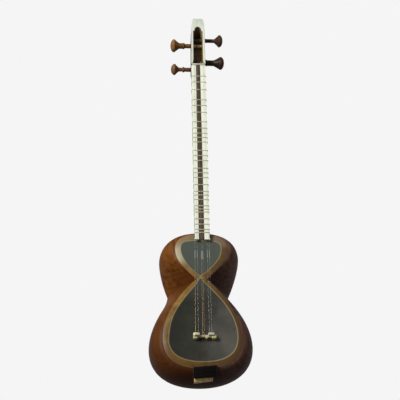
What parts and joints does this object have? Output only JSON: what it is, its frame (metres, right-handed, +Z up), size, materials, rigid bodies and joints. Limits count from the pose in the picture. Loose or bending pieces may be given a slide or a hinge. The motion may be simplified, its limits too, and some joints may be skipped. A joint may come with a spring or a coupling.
{
  "type": "persian tar",
  "caption": "Persian tar: double-bowl wooden lute with skin belly, bone-faced neck, tied gut frets, turning pegs, bone bridge and six strings.",
  "frame": {"origin": "hang hole in the front face of the head", "axes": "+Z up along the neck towards the head, strings and bridge face -Y, treble side +X"},
  "size_m": [0.2106, 0.1838, 0.9187],
  "materials": {
    "mulberry": "polished",
    "walnut": "satin",
    "bone": "satin",
    "dark_strip": "satin",
    "gut": "satin",
    "skin": "satin",
    "wire": "polished",
    "peg_light": "satin",
    "peg_dark": "satin",
    "ebony": "satin",
    "horn": "satin"
  },
  "bodies": {
    "root": {"body_half_left": "mulberry", "body_half_right": "mulberry", "skin_upper": "skin", "skin_lower": "skin", "neck_core": "walnut", "bone_strip_left": "bone", "bone_strip_right": "bone", "centre_strip": "dark_strip", "nut": "bone", "pegbox": "walnut", "head_bone_face": "bone", "bridge": "bone", "tail_block": "ebony", "tail_bone_bar": "horn", "string_1": "wire", "string_2": "wire", "string_3": "wire", "string_4": "wire", "string_5": "wire", "string_6": "wire", "fret_27": "gut", "fret_28": "gut"},
    "peg_upper_right_body": {"peg_upper_right": "peg_dark", "winding_4": "wire"},
    "peg_upper_left_body": {"peg_upper_left": "peg_light", "winding_3": "wire"},
    "peg_lower_right_body": {"peg_lower_right": "peg_dark", "winding_5": "wire", "winding_6": "wire"},
    "peg_lower_left_body": {"peg_lower_left": "peg_light", "winding_1": "wire", "winding_2": "wire"},
    "fret_01_body": {"fret_01": "gut"},
    "fret_02_body": {"fret_02": "gut"},
    "fret_03_body": {"fret_03": "gut"},
    "fret_04_body": {"fret_04": "gut"},
    "fret_05_body": {"fret_05": "gut"},
    "fret_06_body": {"fret_06": "gut"},
    "fret_07_body": {"fret_07": "gut"},
    "fret_08_body": {"fret_08": "gut"},
    "fret_09_body": {"fret_09": "gut"},
    "fret_10_body": {"fret_10": "gut"},
    "fret_11_body": {"fret_11": "gut"},
    "fret_12_body": {"fret_12": "gut"},
    "fret_13_body": {"fret_13": "gut"},
    "fret_14_body": {"fret_14": "gut"},
    "fret_15_body": {"fret_15": "gut"},
    "fret_16_body": {"fret_16": "gut"},
    "fret_17_body": {"fret_17": "gut"},
    "fret_18_body": {"fret_18": "gut"},
    "fret_19_body": {"fret_19": "gut"},
    "fret_20_body": {"fret_20": "gut"},
    "fret_21_body": {"fret_21": "gut"},
    "fret_22_body": {"fret_22": "gut"},
    "fret_23_body": {"fret_23": "gut"},
    "fret_24_body": {"fret_24": "gut"},
    "fret_25_body": {"fret_25": "gut"},
    "fret_26_body": {"fret_26": "gut"}
  },
  "joints": [
    {"name": "turn_upper_right", "type": "hinge", "parent": "root", "child": "peg_upper_right_body", "pos_m": [0, 0.03, -0.0348], "axis": [1, 0, 0], "continuous": true},
    {"name": "turn_upper_left", "type": "hinge", "parent": "root", "child": "peg_upper_left_body", "pos_m": [0, 0.03, -0.0541], "axis": [-1, 0, 0], "continuous": true},
    {"name": "turn_lower_right", "type": "hinge", "parent": "root", "child": "peg_lower_right_body", "pos_m": [0, 0.03, -0.1083], "axis": [1, 0, 0], "continuous": true},
    {"name": "turn_lower_left", "type": "hinge", "parent": "root", "child": "peg_lower_left_body", "pos_m": [0, 0.03, -0.1315], "axis": [-1, 0, 0], "continuous": true},
    {"name": "shift_fret_01", "type": "slide", "parent": "root", "child": "fret_01_body", "axis": [0, 0, 1], "range_m": [-0.002, 0.002]},
    {"name": "shift_fret_02", "type": "slide", "parent": "root", "child": "fret_02_body", "axis": [0, 0, 1], "range_m": [-0.002, 0.002]},
    {"name": "shift_fret_03", "type": "slide", "parent": "root", "child": "fret_03_body", "axis": [0, 0, 1], "range_m": [-0.002, 0.002]},
    {"name": "shift_fret_04", "type": "slide", "parent": "root", "child": "fret_04_body", "axis": [0, 0, 1], "range_m": [-0.002, 0.002]},
    {"name": "shift_fret_05", "type": "slide", "parent": "root", "child": "fret_05_body", "axis": [0, 0, 1], "range_m": [-0.002, 0.002]},
    {"name": "shift_fret_06", "type": "slide", "parent": "root", "child": "fret_06_body", "axis": [0, 0, 1], "range_m": [-0.002, 0.002]},
    {"name": "shift_fret_07", "type": "slide", "parent": "root", "child": "fret_07_body", "axis": [0, 0, 1], "range_m": [-0.002, 0.002]},
    {"name": "shift_fret_08", "type": "slide", "parent": "root", "child": "fret_08_body", "axis": [0, 0, 1], "range_m": [-0.002, 0.002]},
    {"name": "shift_fret_09", "type": "slide", "parent": "root", "child": "fret_09_body", "axis": [0, 0, 1], "range_m": [-0.002, 0.002]},
    {"name": "shift_fret_10", "type": "slide", "parent": "root", "child": "fret_10_body", "axis": [0, 0, 1], "range_m": [-0.002, 0.002]},
    {"name": "shift_fret_11", "type": "slide", "parent": "root", "child": "fret_11_body", "axis": [0, 0, 1], "range_m": [-0.002, 0.002]},
    {"name": "shift_fret_12", "type": "slide", "parent": "root", "child": "fret_12_body", "axis": [0, 0, 1], "range_m": [-0.002, 0.002]},
    {"name": "shift_fret_13", "type": "slide", "parent": "root", "child": "fret_13_body", "axis": [0, 0, 1], "range_m": [-0.002, 0.002]},
    {"name": "shift_fret_14", "type": "slide", "parent": "root", "child": "fret_14_body", "axis": [0, 0, 1], "range_m": [-0.002, 0.002]},
    {"name": "shift_fret_15", "type": "slide", "parent": "root", "child": "fret_15_body", "axis": [0, 0, 1], "range_m": [-0.002, 0.002]},
    {"name": "shift_fret_16", "type": "slide", "parent": "root", "child": "fret_16_body", "axis": [0, 0, 1], "range_m": [-0.002, 0.002]},
    {"name": "shift_fret_17", "type": "slide", "parent": "root", "child": "fret_17_body", "axis": [0, 0, 1], "range_m": [-0.002, 0.002]},
    {"name": "shift_fret_18", "type": "slide", "parent": "root", "child": "fret_18_body", "axis": [0, 0, 1], "range_m": [-0.002, 0.002]},
    {"name": "shift_fret_19", "type": "slide", "parent": "root", "child": "fret_19_body", "axis": [0, 0, 1], "range_m": [-0.002, 0.002]},
    {"name": "shift_fret_20", "type": "slide", "parent": "root", "child": "fret_20_body", "axis": [0, 0, 1], "range_m": [-0.002, 0.002]},
    {"name": "shift_fret_21", "type": "slide", "parent": "root", "child": "fret_21_body", "axis": [0, 0, 1], "range_m": [-0.002, 0.002]},
    {"name": "shift_fret_22", "type": "slide", "parent": "root", "child": "fret_22_body", "axis": [0, 0, 1], "range_m": [-0.002, 0.002]},
    {"name": "shift_fret_23", "type": "slide", "parent": "root", "child": "fret_23_body", "axis": [0, 0, 1], "range_m": [-0.002, 0.002]},
    {"name": "shift_fret_24", "type": "slide", "parent": "root", "child": "fret_24_body", "axis": [0, 0, 1], "range_m": [-0.002, 0.002]},
    {"name": "shift_fret_25", "type": "slide", "parent": "root", "child": "fret_25_body", "axis": [0, 0, 1], "range_m": [-0.002, 0.002]},
    {"name": "shift_fret_26", "type": "slide", "parent": "root", "child": "fret_26_body", "axis": [0, 0, 1], "range_m": [-0.002, 0.002]}
  ]
}
